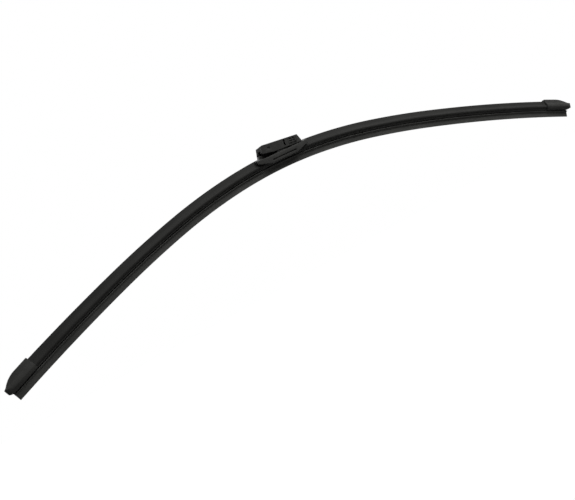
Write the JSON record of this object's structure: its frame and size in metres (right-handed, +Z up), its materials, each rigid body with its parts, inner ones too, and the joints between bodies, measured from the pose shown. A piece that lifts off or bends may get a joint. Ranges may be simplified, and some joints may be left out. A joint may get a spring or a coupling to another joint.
{
  "type": "wiper blade",
  "caption": "Frameless car wiper blade, bowed, with a black spoiler, end caps and a rocking arm adapter with squeeze tabs.",
  "frame": {"origin": "middle of the rivet on which the arm's adapter rocks", "axes": "+X along the blade towards its longer side, +Y across it, +Z up from the glass"},
  "size_m": [0.6362, 0.0148, 0.1066],
  "materials": {
    "wiping_rubber": "matte",
    "spoiler_black": "matte",
    "moulded_black": "satin",
    "saddle_black": "satin",
    "spring_steel": "satin",
    "rivet_steel": "satin"
  },
  "bodies": {
    "adapter": {"adapter": "moulded_black"},
    "blade": {"wiper_rubber": "wiping_rubber", "spring_strip_near": "spring_steel", "spring_strip_far": "spring_steel", "spoiler_left": "spoiler_black", "spoiler_right": "spoiler_black", "saddle": "saddle_black", "saddle_cover": "moulded_black", "pivot_rivet": "rivet_steel", "end_cap_left": "moulded_black", "end_cap_right": "moulded_black", "strip_clip_left": "spring_steel", "strip_clip_right": "spring_steel"},
    "tab_near": {"squeeze_tab_near": "moulded_black"},
    "tab_far": {"squeeze_tab_far": "moulded_black"}
  },
  "joints": [
    {"name": "blade_pivot", "type": "hinge", "parent": "adapter", "child": "blade", "pos_m": [0, 0, 0], "axis": [0, 1, 0], "range_deg": [-0.3, 11]},
    {"name": "tab_near_squeeze", "type": "hinge", "parent": "adapter", "child": "tab_near", "pos_m": [0.01756, -0.0061, -0.00182], "axis": [-0.0976, 0, -0.9952], "range_deg": [0, 5], "stiffness_Nm_per_rad": 0.35},
    {"name": "tab_far_squeeze", "type": "hinge", "parent": "adapter", "child": "tab_far", "pos_m": [0.01756, 0.0061, -0.00182], "axis": [0.0976, 0, 0.9952], "range_deg": [0, 5], "stiffness_Nm_per_rad": 0.35}
  ]
}
